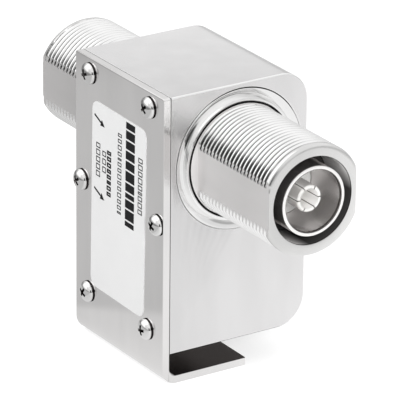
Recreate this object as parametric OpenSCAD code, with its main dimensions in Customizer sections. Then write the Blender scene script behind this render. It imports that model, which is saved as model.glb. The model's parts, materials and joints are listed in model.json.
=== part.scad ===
// Inline coaxial surge arrestor: a machined housing closed by a folded cover,
// with a threaded female coaxial port at each end. Inside are the blocking
// capacitor, the gas tube with its ground post, and the drain coil.
// Frame: X across the housing, with the cover on the -X side; Y along the
// coaxial axis, with the surge port at +Y and the equipment port at -Y; Z up.
// The origin is on the underside of the cover's foot, midway between its holes.

/* [Housing] */
// Width from the cover joint to the far face
housing_w = 40.2; // [40:0.1:50]
// Depth along the coaxial axis
housing_d = 41.4; // [40:0.1:60]
// Height
housing_h = 68.6; // [65:0.1:90]
// Radius of the two long edges opposite the cover
housing_edge_r = 8; // [2:0.5:12]
// Wall that carries each port
end_wall = 5.8; // [5.4:0.1:7]
// Wall opposite the cover
far_wall = 5; // [3:0.5:6]
// Wall above the cavity
top_wall = 7; // [6.5:0.1:7.5]
// Wall below the cavity
bottom_wall = 9.4; // [8:0.1:12]
// Radius of the cavity's corners
cavity_r = 3; // [1:0.1:3.4]
// Depth of the coaxial axis below the housing's top
axis_drop = 20; // [20:0.1:26]

/* [Cover] */
// Sheet thickness of the cover
cover_t = 2; // [1.5:0.1:3]
// Inside radius of the fold
bend_r = 2.2; // [1:0.1:4]
// Gap between the foot and the housing
foot_gap = 6.1; // [5:0.1:15]
// Reach of the foot from the cover's inner face
foot_reach = 23.1; // [20:0.1:40]
// Distance of the foot's holes from the cover's inner face
foot_hole_x = 13; // [8:0.1:15]
// Spacing of the two foot holes along the coaxial axis
foot_hole_pitch = 12; // [10:0.5:24]
// Diameter of the foot holes
foot_hole_d = 4.5; // [3:0.1:6]
// Radius of the cover's corners
cover_corner_r = 0.6; // [0.5:0.1:3]
// Rounding of the cover's upper outer edge
cover_edge_r = 0.3; // [0.3:0.1:1.4]
// Gasket thickness
gasket_t = 0.2; // [0.2:0.05:0.5]
// Setback of the gasket from the housing's outline
gasket_inset = 0.2; // [0:0.05:0.5]

/* [Cover screws] */
// Screw shank diameter
screw_d = 3; // [2.5:0.1:3.5]
// Screw length under the head
screw_l = 7.6; // [6:0.1:8]
// Head diameter
screw_head_d = 5.8; // [5:0.1:6.5]
// Head height
screw_head_h = 1.9; // [1.5:0.1:2.5]
// Width of the arms of the cross recess
cross_w = 0.9; // [0.5:0.1:1.2]
// Span of the cross recess
cross_span = 3.4; // [2:0.1:4]
// Depth of the cross recess
cross_depth = 1.1; // [0.5:0.1:1.3]
// Spacing of the upper and lower screw pairs along the coaxial axis
corner_screw_pitch = 28; // [24:0.5:30]
// Distance of the upper screws from the housing's top
screw_top_inset = 4.2; // [3.6:0.1:4.4]
// Distance of the lower screws from the housing's bottom
screw_bottom_inset = 4.8; // [4:0.1:6]
// Shift of the lower screw pair along the coaxial axis
lower_screw_shift = 0.8; // [-1:0.1:1]

/* [Label] */
// Label width
label_w = 25.2; // [15:0.1:26]
// Label height
label_h = 50.7; // [30:0.1:51]
// Label corner radius
label_r = 2.4; // [1:0.1:5]
// Label thickness
label_t = 0.15; // [0.1:0.05:0.3]
// Height of the label's centre above the housing's mid height
label_shift = -1.7; // [-2:0.1:2]
// Place of the label's centre along the coaxial axis
label_y = 0.3; // [-0.4:0.1:0.4]
// Tilt of the label on the cover
label_tilt = 1.2; // [0:0.1:2]

/* [Ports] */
// Thread diameter of the barrel
thread_d = 29; // [28.5:0.1:29.8]
// Pitch of the barrel's thread
thread_pitch = 1.5; // [1.2:0.1:2]
// Depth of the thread
thread_depth = 0.8; // [0.5:0.05:1]
// Share of the pitch that the thread's crest takes
crest_share = 0.25; // [0.1:0.01:0.28]
// Share of the pitch that each flank of the thread takes
flank_share = 0.3; // [0.2:0.01:0.35]
// Height over the housing where the thread starts
neck_l = 3.4; // [2:0.1:6]
// Distance across the two flats of the barrel
flats_w = 25.4; // [25:0.1:27.5]
// Reach of the barrel from the housing
port_l = 32.3; // [28:0.1:40]
// Chamfer at the barrel's mouth
mouth_chamfer = 1.1; // [0.3:0.1:1.2]
// Bore of the barrel around the outer-contact tube
shell_bore_d = 22.7; // [22:0.1:23.5]
// Depth of the ring-shaped space between barrel and tube
shell_bore_depth = 11; // [8:0.5:14]
// Outside diameter of the outer-contact tube
tube_od = 18.2; // [18:0.1:18.6]
// Inside diameter of the outer-contact tube
tube_id = 16; // [15.6:0.1:16.4]
// Height of the tube's rim over the barrel's mouth
tube_proud = 0.4; // [0:0.1:0.8]
// Diameter of the flange that seats in the housing
flange_d = 36.8; // [36:0.1:37]
// Flange thickness
flange_t = 2; // [1.6:0.1:2.1]
// Diameter at the bottom of the flange's dished face
dish_d = 32.8; // [32.4:0.1:33.4]
// Depth of the dished face
dish_depth = 0.7; // [0.3:0.1:0.9]
// Height of the hub that holds the O-ring, over the housing's face
hub_h = 0.6; // [0.4:0.1:1]
// Wall of the hub around the O-ring
hub_wall = 0.5; // [0.3:0.05:0.55]
// O-ring section diameter
o_ring_t = 0.6; // [0.4:0.1:1]
// Height of the collar inside the O-ring over the thread's crests
collar_over = 0.2; // [0.1:0.05:0.25]
// Diameter of the threaded spigot inside the housing
spigot_d = 20; // [19:0.1:21]
// Length of the spigot past its lock nut
spigot_over = 0.8; // [0.4:0.1:1.2]
// Bore through the spigot
neck_bore_d = 13; // [12:0.1:14]
// Lock nut diameter
nut_d = 24; // [23.5:0.1:25]
// Lock nut thickness
nut_t = 3.2; // [2.5:0.1:3.5]
// Room around the lock nut where its seat is cut into the cavity's corners
nut_relief = 0.4; // [0.2:0.1:0.6]
// Width of the lock nut's spanner slots
nut_slot_w = 2.4; // [1.5:0.1:3]
// Depth of the lock nut's spanner slots
nut_slot_depth = 1.2; // [0.8:0.1:1.4]

/* [Contacts] */
// Diameter of the socket contact
contact_d = 7; // [6.8:0.1:7.4]
// Bore of the socket contact
socket_d = 5; // [4.8:0.1:5.4]
// Depth of the socket's bore
socket_depth = 12; // [10:0.5:13]
// Depth of the contact's tip below the tube's rim
contact_recess = 1.8; // [1.5:0.1:2.2]
// Chamfer on the contact's tip
tip_chamfer = 0.3; // [0.1:0.1:0.4]
// Width of the contact's slots
slot_w = 0.2; // [0.2:0.05:0.5]
// Length of the contact's slots
slot_l = 9; // [6:0.5:10]
// Number of contact slots
slot_count = 6; // [4:2:8]
// Diameter of the centre conductor behind the socket
shank_d = 5.6; // [5.2:0.1:6]
// Depth of the insulator below the tube's rim
bead_depth = 16; // [15.5:0.1:18]
// Insulator thickness
bead_t = 6; // [4:0.1:8]

/* [Protection circuit] */
// Diameter of the capacitor plates
plate_d = 18; // [14:0.5:20]
// Thickness of the capacitor plates
plate_t = 2; // [1.5:0.1:2.5]
// Diameter of the hub on each capacitor plate
plate_hub_d = 9; // [8:0.1:11]
// Length of the hub on each capacitor plate
plate_hub_l = 3; // [2:0.1:3.5]
// Diameter of the capacitor's ceramic disc
dielectric_d = 20; // [18:0.5:22]
// Thickness of the capacitor's ceramic disc
dielectric_t = 0.6; // [0.4:0.1:1]
// Outside diameter of the clamping collars on the centre conductors
collar_d = 8.4; // [8:0.1:9]
// Space at each end of a clamping collar
collar_gap = 0.8; // [0.6:0.1:1]
// Diameter of the stem between the collar and the gas tube
stem_d = 3; // [2:0.1:3.5]
// Thickness of the stem's foot on the gas tube
stem_foot_t = 1; // [0.6:0.1:1.5]
// Distance of the gas tube and the coil below the lock nuts
drop_gap = 1.2; // [0.8:0.1:2]
// Gas tube diameter
gas_tube_d = 8; // [6:0.1:8.4]
// Gas tube length with both electrodes
gas_tube_l = 8.4; // [6:0.1:10]
// Thickness of the gas tube's electrodes
electrode_t = 1.2; // [0.8:0.1:1.6]
// Height of the spring washer under the gas tube
washer_h = 1.4; // [1:0.1:2]
// Sheet thickness of the spring washer
washer_t = 0.4; // [0.3:0.05:0.6]
// Diameter of the ground post
post_d = 6; // [5:0.1:7]
// Wall of the ground post's cup
cup_wall = 1; // [0.8:0.1:1.4]
// Height of the cup's rim over its floor
cup_depth = 2.4; // [2:0.1:3]
// Diameter of the post's stud
stud_d = 3; // [2.5:0.1:4]
// Length of the post's stud
stud_l = 6; // [4:0.1:7]
// Wire diameter of the drain coil
wire_d = 1; // [0.6:0.1:1.2]
// Mean diameter of the drain coil
coil_d = 8; // [6:0.1:9]
// Number of turns of the drain coil
coil_turns = 7; // [4:1:9]
// Height of the coil's lowest turn over the cavity's floor
coil_lift = 6; // [4:0.1:8]
// Thickness of the coil's upper arm
arm_t = 1.6; // [1:0.1:2]
// Width of the coil's upper arm
arm_w = 3; // [2:0.1:3.4]
// Thickness of the ground lug
lug_t = 0.8; // [0.5:0.1:1.2]
// Distance between the ground lug's screw and the coil's lead
lug_l = 8; // [7:0.1:10]
// Margin of the ground lug around its screw head
lug_margin = 0.3; // [0.1:0.1:0.4]
// Width of the ground lug's tongue
tongue_w = 3; // [2:0.1:4]

/* [Hidden] */
$fn = 96;

// Radial clearance between pieces that fit closely
clear = 0.05;
// Radial clearance between pieces that only locate each other
loose_clear = 0.1;
// Clearance of the cover's screw holes
hole_clear = 0.2;
// Depth of a tapped hole past the end of its screw
tap_over = 0.4;
// Overlap of a cutting tool past the face that it cuts
spill = 1;
// Port directions along Y
SURGE = 1;
EQUIPMENT = -1;

// Places across the part
cover_in_x = -foot_hole_x;
cover_out_x = cover_in_x - cover_t;
joint_x = cover_in_x + gasket_t;
far_x = joint_x + housing_w;
foot_end_x = cover_in_x + foot_reach;
axis_x = joint_x + housing_w / 2;

// Places along the coaxial axis
face_y = housing_d / 2;
cavity_y = face_y - end_wall;
spigot_end = -end_wall - nut_t - spigot_over;
plate_back_y = dielectric_t / 2 + plate_t;
hub_end_y = plate_back_y + plate_hub_l;
spigot_end_y = face_y + spigot_end;
collar_l = spigot_end_y - hub_end_y - 2 * collar_gap;
tap_y = (spigot_end_y + hub_end_y) / 2;

// Heights
bottom_z = cover_t + foot_gap;
top_z = bottom_z + housing_h;
axis_z = top_z - axis_drop;
floor_z = bottom_z + bottom_wall;
ceiling_z = top_z - top_wall;
circuit_top_z = axis_z - nut_d / 2 - drop_gap;
gas_tube_bottom_z = circuit_top_z - gas_tube_l;
cup_floor_z = gas_tube_bottom_z - washer_h;
arm_z = axis_z - collar_d / 2 - arm_t;
coil_bottom_z = floor_z + coil_lift;

// Heights along a port, measured from the housing's face
rim = port_l + tube_proud;
bead_top = rim - bead_depth;
bead_seat = bead_top - bead_t;
contact_tip = rim - contact_recess;
shank_end = plate_back_y - face_y;
root_collar_r = thread_d / 2 + collar_over;
o_ring_r = root_collar_r + clear + o_ring_t / 2;
groove_r = o_ring_r + o_ring_t / 2 + clear;

// Radii and heights of the thread
crest_r = thread_d / 2;
root_r = crest_r - thread_depth;
neck_r = crest_r - thread_depth / 2;
flank_l = flank_share * thread_pitch;
crest_l = crest_share * thread_pitch;
ridge_count = floor((port_l - mouth_chamfer - neck_l - flank_l) / thread_pitch);
thread_end = neck_l + ridge_count * thread_pitch;

// Cover screw centres in Y and Z
upper_screw_z = top_z - screw_top_inset;
lower_screw_z = bottom_z + screw_bottom_inset;
SCREWS = [
    for (y = [-1, 1])
        each [
            [y * corner_screw_pitch / 2, upper_screw_z],
            [y * (face_y - end_wall / 2), (upper_screw_z + lower_screw_z) / 2],
            [y * corner_screw_pitch / 2 + lower_screw_shift, lower_screw_z]
        ]
];

// Local frames

module both_ends() {
    children();
    mirror([0, 1, 0]) children();
}

// Local Z runs out of the port, from the housing's face on the coaxial axis
module at_port(side) {
    translate([axis_x, side * face_y, axis_z]) rotate([-90 * side, 0, 0]) children();
}

// Local Z runs along +Y from the middle of the coaxial axis
module on_axis(side) {
    translate([axis_x, 0, axis_z]) rotate([-90 * side, 0, 0]) children();
}

// Local Z runs out of the cover from x, at each cover screw
module at_screws(x) {
    for (place = SCREWS)
        translate([x, place[0], place[1]]) rotate([0, -90, 0]) children();
}

// Shared shapes

// Waste that rounds a square edge on local Z, where the solid fills +X and +Y
module edge_round(r, length) {
    difference() {
        translate([-spill, -spill, -spill]) cube([r + spill, r + spill, length + 2 * spill]);
        translate([r, r, -2 * spill]) cylinder(r = r, h = length + 4 * spill);
    }
}

// Plate with rounded corners, centred on X and Y
module rounded_plate(w, h, t, r) {
    translate([-w / 2 + r, -h / 2, 0]) cube([w - 2 * r, h, t]);
    translate([-w / 2, -h / 2 + r, 0]) cube([w, h - 2 * r, t]);
    for (x = [-1, 1], y = [-1, 1])
        translate([x * (w / 2 - r), y * (h / 2 - r), 0]) cylinder(r = r, h = t);
}

module tube(r_out, r_in, h) {
    difference() {
        cylinder(r = r_out, h = h);
        translate([0, 0, -spill]) cylinder(r = r_in, h = h + 2 * spill);
    }
}

// Pan-head screw with a cross recess, seated at local z = 0 with its shank below
module pan_screw(d, l, head_d, head_h) {
    edge_h = head_h / 2;
    crown = head_h - edge_h;
    dome_r = (head_d * head_d / 4 + crown * crown) / (2 * crown);
    difference() {
        union() {
            intersection() {
                cylinder(d = head_d, h = head_h);
                translate([0, 0, head_h - dome_r]) sphere(r = dome_r);
            }
            translate([0, 0, -l]) cylinder(d = d, h = l + head_h / 4);
        }
        for (a = [0, 90])
            rotate([0, 0, a])
                translate([-cross_span / 2, -cross_w / 2, head_h - cross_depth])
                    cube([cross_span, cross_w, cross_depth + spill]);
    }
}

// Clamping collar around a centre conductor, on local Z
module collar() {
    translate([0, 0, -collar_l / 2]) tube(collar_d / 2, shank_d / 2 + clear, collar_l);
}

// Housing and cover

module housing_block() {
    difference() {
        translate([joint_x, -face_y, bottom_z]) cube([housing_w, housing_d, housing_h]);
        translate([far_x, -face_y, top_z]) rotate([-90, 0, 0]) mirror([1, 0, 0])
            edge_round(housing_edge_r, housing_d);
        translate([far_x, face_y, bottom_z]) rotate([90, 0, 0]) mirror([1, 0, 0])
            edge_round(housing_edge_r, housing_d);
    }
}

module cavity(depth) {
    translate([joint_x - spill, 0, (floor_z + ceiling_z) / 2]) rotate([90, 0, 90])
        rounded_plate(2 * cavity_y, ceiling_z - floor_z, depth + spill, cavity_r);
}

module housing() {
    color("gainsboro") difference() {
        housing_block();
        cavity(housing_w - far_wall);
        for (side = [SURGE, EQUIPMENT])
            at_port(side) {
                translate([0, 0, -flange_t]) cylinder(d = flange_d + 2 * loose_clear, h = flange_t + spill);
                translate([0, 0, -end_wall - spill])
                    cylinder(d = spigot_d + 2 * clear, h = end_wall + 2 * spill);
                translate([0, 0, -end_wall - cavity_r]) cylinder(d = nut_d + 2 * nut_relief, h = cavity_r);
            }
        at_screws(cover_out_x)
            translate([0, 0, -screw_l - tap_over]) cylinder(d = screw_d + 2 * clear, h = screw_l);
        translate([axis_x, SURGE * tap_y, floor_z - stud_l - tap_over])
            cylinder(d = stud_d + 2 * clear, h = stud_l + tap_over + spill);
        translate([axis_x + coil_d / 2 - lug_l, EQUIPMENT * tap_y, floor_z + lug_t - screw_l - tap_over])
            cylinder(d = screw_d + 2 * clear, h = screw_l + tap_over + spill);
    }
}

module folded_sheet() {
    fold_z = cover_t + bend_r;
    fold_x = cover_in_x + bend_r;
    translate([cover_out_x, -face_y, fold_z]) cube([cover_t, housing_d, top_z - fold_z]);
    translate([fold_x, -face_y, 0]) cube([foot_end_x - fold_x, housing_d, cover_t]);
    translate([fold_x, face_y, fold_z]) rotate([90, 0, 0]) intersection() {
        tube(bend_r + cover_t, bend_r, housing_d);
        translate([-bend_r - cover_t, -bend_r - cover_t, 0])
            cube([bend_r + cover_t, bend_r + cover_t, housing_d]);
    }
}

module mounting_cover() {
    color("silver") difference() {
        folded_sheet();
        translate([cover_out_x, -face_y, top_z]) rotate([-90, 0, 0]) edge_round(cover_edge_r, housing_d);
        both_ends() {
            translate([cover_out_x, -face_y, top_z]) rotate([0, 90, 0]) edge_round(cover_corner_r, cover_t);
            translate([foot_end_x, -face_y, 0]) mirror([1, 0, 0]) edge_round(cover_corner_r, cover_t);
        }
        at_screws(cover_out_x)
            translate([0, 0, -cover_t - spill])
                cylinder(d = screw_d + 2 * hole_clear, h = cover_t + 2 * spill);
        for (y = [-1, 1])
            translate([0, y * foot_hole_pitch / 2, -spill])
                cylinder(d = foot_hole_d, h = cover_t + 2 * spill);
    }
}

module cover_gasket() {
    color("dimgray") difference() {
        translate([cover_in_x, -face_y + gasket_inset, bottom_z + gasket_inset])
            cube([gasket_t, housing_d - 2 * gasket_inset, housing_h - 2 * gasket_inset]);
        cavity(gasket_t);
        at_screws(cover_out_x)
            translate([0, 0, -cover_t - gasket_t - spill])
                cylinder(d = screw_d + 2 * hole_clear, h = cover_t + gasket_t + 2 * spill);
    }
}

module cover_screws() {
    color("lightgray") at_screws(cover_out_x) pan_screw(screw_d, screw_l, screw_head_d, screw_head_h);
}

module rating_label() {
    color("white")
        translate([cover_out_x, label_y, (bottom_z + top_z) / 2 + label_shift])
            rotate([0, -90, 0]) rotate([0, 0, -label_tilt])
                rounded_plate(label_h, label_w, label_t, label_r);
}

// Ports

// One ring of the thread, which stands for a turn of its helix, from root to root
function thread_ring(z) = [
    [root_r, z],
    [crest_r, z + flank_l],
    [crest_r, z + flank_l + crest_l],
    [root_r, z + 2 * flank_l + crest_l]
];

// Turned section from the spigot, over the flange and barrel, into the outer-contact tube
module connector_section() {
    hub_r = groove_r + hub_wall;
    bore_r = shell_bore_d / 2;
    root = [
        [neck_bore_d / 2, spigot_end],
        [spigot_d / 2, spigot_end],
        [spigot_d / 2, -flange_t],
        [flange_d / 2, -flange_t],
        [flange_d / 2, 0],
        [dish_d / 2, -dish_depth],
        [hub_r, hub_h],
        [groove_r, hub_h],
        [groove_r, hub_h - o_ring_t],
        [root_collar_r, hub_h - o_ring_t],
        [root_collar_r, hub_h],
        [neck_r, hub_h],
        [neck_r, neck_l - flank_l / 2]
    ];
    thread = [for (k = [0 : ridge_count - 1]) each thread_ring(neck_l + k * thread_pitch)];
    mouth = [
        [root_r, thread_end],
        [crest_r, thread_end + flank_l],
        [crest_r, port_l - mouth_chamfer],
        [crest_r - mouth_chamfer, port_l],
        [bore_r, port_l],
        [bore_r, port_l - shell_bore_depth],
        [tube_od / 2, port_l - shell_bore_depth],
        [tube_od / 2, rim],
        [tube_id / 2, rim],
        [tube_id / 2, bead_seat],
        [neck_bore_d / 2, bead_seat]
    ];
    polygon(concat(root, thread, mouth));
}

module connector_body(side) {
    cut_w = thread_d / 2;
    color("whitesmoke") at_port(side) difference() {
        rotate_extrude() connector_section();
        for (x = [-1, 1])
            translate([x * (flats_w + cut_w) / 2, 0, hub_h + (port_l + spill) / 2])
                cube([cut_w, thread_d, port_l + spill], center = true);
    }
}

module o_ring(side) {
    color("black") at_port(side)
        translate([0, 0, hub_h - o_ring_t / 2])
            rotate_extrude() translate([o_ring_r, 0]) circle(d = o_ring_t);
}

module insulator(side) {
    color("ivory") at_port(side)
        translate([0, 0, bead_seat]) tube(tube_id / 2 - clear, shank_d / 2 + clear, bead_t);
}

module contact(side) {
    color("navajowhite") at_port(side) difference() {
        rotate_extrude() polygon([
            [0, shank_end],
            [shank_d / 2, shank_end],
            [shank_d / 2, bead_top],
            [contact_d / 2, bead_top],
            [contact_d / 2, contact_tip - tip_chamfer],
            [contact_d / 2 - tip_chamfer, contact_tip],
            [socket_d / 2, contact_tip],
            [socket_d / 2, contact_tip - socket_depth],
            [0, contact_tip - socket_depth]
        ]);
        for (k = [0 : slot_count - 1])
            rotate([0, 0, k * 360 / slot_count])
                translate([0, -slot_w / 2, contact_tip - slot_l]) cube([contact_d, slot_w, slot_l + spill]);
    }
}

module lock_nut(side) {
    color("goldenrod") at_port(side) translate([0, 0, -end_wall - nut_t]) difference() {
        tube(nut_d / 2, spigot_d / 2 + clear, nut_t);
        for (a = [0 : 90 : 270])
            rotate([0, 0, a])
                translate([nut_d / 2 - nut_slot_depth, -nut_slot_w / 2, -spill])
                    cube([nut_slot_depth + spill, nut_slot_w, nut_t + 2 * spill]);
    }
}

// Blocking capacitor

module capacitor_plate(side) {
    color("goldenrod") on_axis(side) {
        translate([0, 0, dielectric_t / 2]) cylinder(d = plate_d, h = plate_t);
        translate([0, 0, plate_back_y]) tube(plate_hub_d / 2, shank_d / 2 + clear, plate_hub_l);
    }
}

module capacitor_disc() {
    color("linen") on_axis(SURGE)
        translate([0, 0, -dielectric_t / 2]) cylinder(d = dielectric_d, h = dielectric_t);
}

// Gas tube branch on the surge side

module at_gas_tube(z) {
    translate([axis_x, SURGE * tap_y, z]) children();
}

module gas_tube_tap() {
    color("goldenrod") {
        translate([0, SURGE * tap_y, 0]) on_axis(SURGE) collar();
        at_gas_tube(circuit_top_z) cylinder(d = gas_tube_d - 2 * electrode_t, h = stem_foot_t);
        difference() {
            at_gas_tube(circuit_top_z) cylinder(d = stem_d, h = axis_z - circuit_top_z);
            translate([0, SURGE * tap_y, 0]) on_axis(SURGE)
                cylinder(d = shank_d + 2 * clear, h = 2 * collar_l, center = true);
        }
    }
}

module gas_tube_ceramic() {
    color("white") at_gas_tube(gas_tube_bottom_z + electrode_t)
        tube(gas_tube_d / 2, gas_tube_d / 2 - electrode_t, gas_tube_l - 2 * electrode_t);
}

// Electrode cap with its inner face pin, on local Z towards the middle of the gas tube
module electrode() {
    pin_l = (gas_tube_l - 2 * electrode_t) / 3;
    cylinder(d = gas_tube_d, h = electrode_t);
    cylinder(d = gas_tube_d / 2, h = electrode_t + pin_l);
}

module gas_tube_top_electrode() {
    color("silver") at_gas_tube(circuit_top_z) mirror([0, 0, 1]) electrode();
}

module gas_tube_bottom_electrode() {
    color("silver") at_gas_tube(gas_tube_bottom_z) electrode();
}

module gas_tube_washer() {
    r_out = gas_tube_d / 2 - clear;
    r_in = r_out / 2;
    color("darkgray") at_gas_tube(cup_floor_z) rotate_extrude() polygon([
        [r_in, washer_h - washer_t],
        [r_out, 0],
        [r_out, washer_t],
        [r_in, washer_h]
    ]);
}

module ground_post() {
    cup_r = gas_tube_d / 2 + loose_clear;
    color("goldenrod") at_gas_tube(0) rotate_extrude() polygon([
        [0, floor_z - stud_l],
        [stud_d / 2, floor_z - stud_l],
        [stud_d / 2, floor_z],
        [post_d / 2, floor_z],
        [post_d / 2, cup_floor_z - 2 * cup_wall],
        [cup_r + cup_wall, cup_floor_z - cup_wall],
        [cup_r + cup_wall, cup_floor_z + cup_depth],
        [cup_r, cup_floor_z + cup_depth],
        [cup_r, cup_floor_z],
        [0, cup_floor_z]
    ]);
}

// Drain branch on the equipment side

// Local origin on the coil's axis at height z
module at_coil(z) {
    translate([axis_x, EQUIPMENT * tap_y, z]) children();
}

module drain_tap() {
    mid_wall_r = (collar_d + shank_d) / 4;
    color("goldenrod") {
        translate([0, EQUIPMENT * tap_y, 0]) on_axis(SURGE) collar();
        at_coil(arm_z) translate([-arm_w / 2, -arm_w / 2, 0]) {
            cube([arm_w / 2 + coil_d / 2 + wire_d, arm_w, arm_t]);
            cube([arm_w, arm_w, axis_z - mid_wall_r - arm_z]);
        }
    }
}

// Wire path: a straight lead, a quarter bend, the helix, a quarter bend and a straight lead
lead_turn = 30;
bend_step = 15;
steps_per_turn = 16;
bend_l = coil_d / 2 * lead_turn * PI / 180;
helix_top_z = circuit_top_z - bend_l;
helix_low_z = coil_bottom_z + bend_l;
helix_turn = 360 * coil_turns - 2 * lead_turn;
helix_steps = steps_per_turn * coil_turns;
coil_path = concat(
    [[0, arm_z]],
    [for (a = [0 : bend_step : 90 - bend_step])
        [lead_turn * (1 - cos(a)), helix_top_z + bend_l * (1 - sin(a))]],
    [for (k = [0 : helix_steps])
        [lead_turn + helix_turn * k / helix_steps,
         helix_top_z + (helix_low_z - helix_top_z) * k / helix_steps]],
    [for (a = [bend_step : bend_step : 90])
        [360 * coil_turns - lead_turn * (1 - sin(a)), helix_low_z - bend_l * (1 - cos(a))]],
    [[360 * coil_turns, floor_z + lug_t]]
);
wire_sides = 8;

function coil_point(p) = [coil_d / 2 * cos(p[0]), coil_d / 2 * sin(p[0]), p[1]];
function unit(v) = v / norm(v);
function coil_heading(k) =
    unit(coil_point(coil_path[min(k + 1, len(coil_path) - 1)]) - coil_point(coil_path[max(k - 1, 0)]));
function wire_ring(k) =
    let (
        out = [cos(coil_path[k][0]), sin(coil_path[k][0]), 0],
        end = k == 0 || k == len(coil_path) - 1,
        side = unit(cross(end ? [0, 0, -1] : coil_heading(k), out))
    )
    [for (s = [0 : wire_sides - 1])
        let (a = 360 * s / wire_sides)
        coil_point(coil_path[k]) + wire_d / 2 * (cos(a) * out + sin(a) * side)];

module drain_coil() {
    last = len(coil_path) - 1;
    color("peru") at_coil(0) polyhedron(
        points = [for (k = [0 : last]) each wire_ring(k)],
        faces = concat(
            [[for (s = [0 : wire_sides - 1]) s]],
            [for (k = [0 : last - 1], s = [0 : wire_sides - 1])
                let (t = (s + 1) % wire_sides, near = k * wire_sides, next = near + wire_sides)
                [near + t, near + s, next + s, next + t]],
            [[for (s = [wire_sides - 1 : -1 : 0]) last * wire_sides + s]]
        )
    );
}

module drain_lug() {
    lug_r = screw_head_d / 2 + lug_margin;
    color("silver") at_coil(floor_z) difference() {
        union() {
            translate([coil_d / 2 - lug_l, 0, 0]) cylinder(r = lug_r, h = lug_t);
            translate([coil_d / 2 - lug_l, -tongue_w / 2, 0]) cube([lug_l + wire_d, tongue_w, lug_t]);
        }
        translate([coil_d / 2 - lug_l, 0, -spill])
            cylinder(d = screw_d + 2 * hole_clear, h = lug_t + 2 * spill);
    }
}

module drain_screw() {
    color("lightgray") at_coil(floor_z + lug_t) translate([coil_d / 2 - lug_l, 0, 0])
        pan_screw(screw_d, screw_l, screw_head_d, screw_head_h);
}

housing();
mounting_cover();
cover_gasket();
cover_screws();
rating_label();
connector_body(SURGE);  // surge_connector_body
o_ring(SURGE);  // surge_o_ring
insulator(SURGE);  // surge_insulator
contact(SURGE);  // surge_contact
lock_nut(SURGE);  // surge_lock_nut
connector_body(EQUIPMENT);  // equipment_connector_body
o_ring(EQUIPMENT);  // equipment_o_ring
insulator(EQUIPMENT);  // equipment_insulator
contact(EQUIPMENT);  // equipment_contact
lock_nut(EQUIPMENT);  // equipment_lock_nut
capacitor_plate(SURGE);  // surge_capacitor_plate
capacitor_plate(EQUIPMENT);  // equipment_capacitor_plate
capacitor_disc();
gas_tube_tap();
gas_tube_ceramic();
gas_tube_top_electrode();
gas_tube_bottom_electrode();
gas_tube_washer();
ground_post();
drain_tap();
drain_coil();
drain_lug();
drain_screw();
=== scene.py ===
"""Looks of the coaxial surge arrestor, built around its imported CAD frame."""

import json
import math

import bmesh
import bpy
import numpy as np
from mathutils import Matrix, Vector


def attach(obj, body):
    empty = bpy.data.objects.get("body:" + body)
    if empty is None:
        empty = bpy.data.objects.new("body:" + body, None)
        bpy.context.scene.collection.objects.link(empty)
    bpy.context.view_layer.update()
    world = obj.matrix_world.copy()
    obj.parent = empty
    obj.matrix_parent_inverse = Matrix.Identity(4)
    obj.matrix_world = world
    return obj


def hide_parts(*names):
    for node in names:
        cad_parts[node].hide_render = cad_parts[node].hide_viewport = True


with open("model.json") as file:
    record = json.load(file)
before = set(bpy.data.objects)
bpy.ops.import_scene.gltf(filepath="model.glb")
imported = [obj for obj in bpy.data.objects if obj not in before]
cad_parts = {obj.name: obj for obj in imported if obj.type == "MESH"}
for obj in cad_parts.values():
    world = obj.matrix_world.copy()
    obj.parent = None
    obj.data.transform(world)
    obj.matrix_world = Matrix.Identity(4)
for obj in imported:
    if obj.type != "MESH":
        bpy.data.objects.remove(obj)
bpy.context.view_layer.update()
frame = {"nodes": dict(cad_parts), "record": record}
MM = 0.001

# Sizes and places of the CAD part, in millimetres; heights of a port count from the housing's face
COVER_X = -15.0
JOINT_X = -12.8
HOUSING_FACE_Y = 20.7
AXIS_X = 7.3
AXIS_Z = 56.7
PORT_L = 32.3
RIM = 32.7
CREST_R = 14.5
ROOT_R = 13.7
FLAT = 12.7
SPACE_R = 11.35
TUBE_R = 9.1
TUBE_BORE_R = 8.0


# Materials

CLOUD_SCALE = 0.15
GRAIN_STRENGTH = 0.25
ROUGH_SPREAD = 0.1


def fresh_material(name):
    """New node material with its nodes, links and shader."""
    material = bpy.data.materials.new(name)
    material.use_nodes = True
    nodes = material.node_tree.nodes
    links = material.node_tree.links
    shader = nodes["Principled BSDF"]
    return material, nodes, links, shader


def object_coords(nodes, links, stretch):
    """Object coordinates stretched along each axis."""
    coords = nodes.new("ShaderNodeTexCoord")
    mapping = nodes.new("ShaderNodeMapping")
    mapping.inputs["Scale"].default_value = stretch
    links.new(coords.outputs["Object"], mapping.inputs["Vector"])
    return mapping.outputs["Vector"]


def noise(nodes, links, vector, scale, detail=3.0):
    """Soft noise over the given coordinates."""
    texture = nodes.new("ShaderNodeTexNoise")
    texture.inputs["Scale"].default_value = scale
    texture.inputs["Detail"].default_value = detail
    links.new(vector, texture.inputs["Vector"])
    return texture.outputs["Fac"]


def ramp(nodes, links, fac, stops):
    """Colour ramp with stops of a place and a grey tone or a colour."""
    node = nodes.new("ShaderNodeValToRGB")
    elements = node.color_ramp.elements
    while len(elements) < len(stops):
        elements.new(0.5)
    for element, (place, value) in zip(elements, stops):
        element.position = place
        color = value if isinstance(value, tuple) else (value, value, value)
        element.color = (*color, 1.0)
    links.new(fac, node.inputs["Fac"])
    return node.outputs["Color"]


def position_ramp(nodes, links, coords, heading, low, high, stops):
    """Tone that changes along a heading, between two distances from the origin in metres."""
    along = nodes.new("ShaderNodeVectorMath")
    along.operation = "DOT_PRODUCT"
    along.inputs[1].default_value = heading
    links.new(coords.outputs["Object"], along.inputs[0])
    reach = nodes.new("ShaderNodeMapRange")
    reach.inputs["From Min"].default_value = low
    reach.inputs["From Max"].default_value = high
    links.new(along.outputs["Value"], reach.inputs["Value"])
    return ramp(nodes, links, reach.outputs["Result"], stops)


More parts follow.
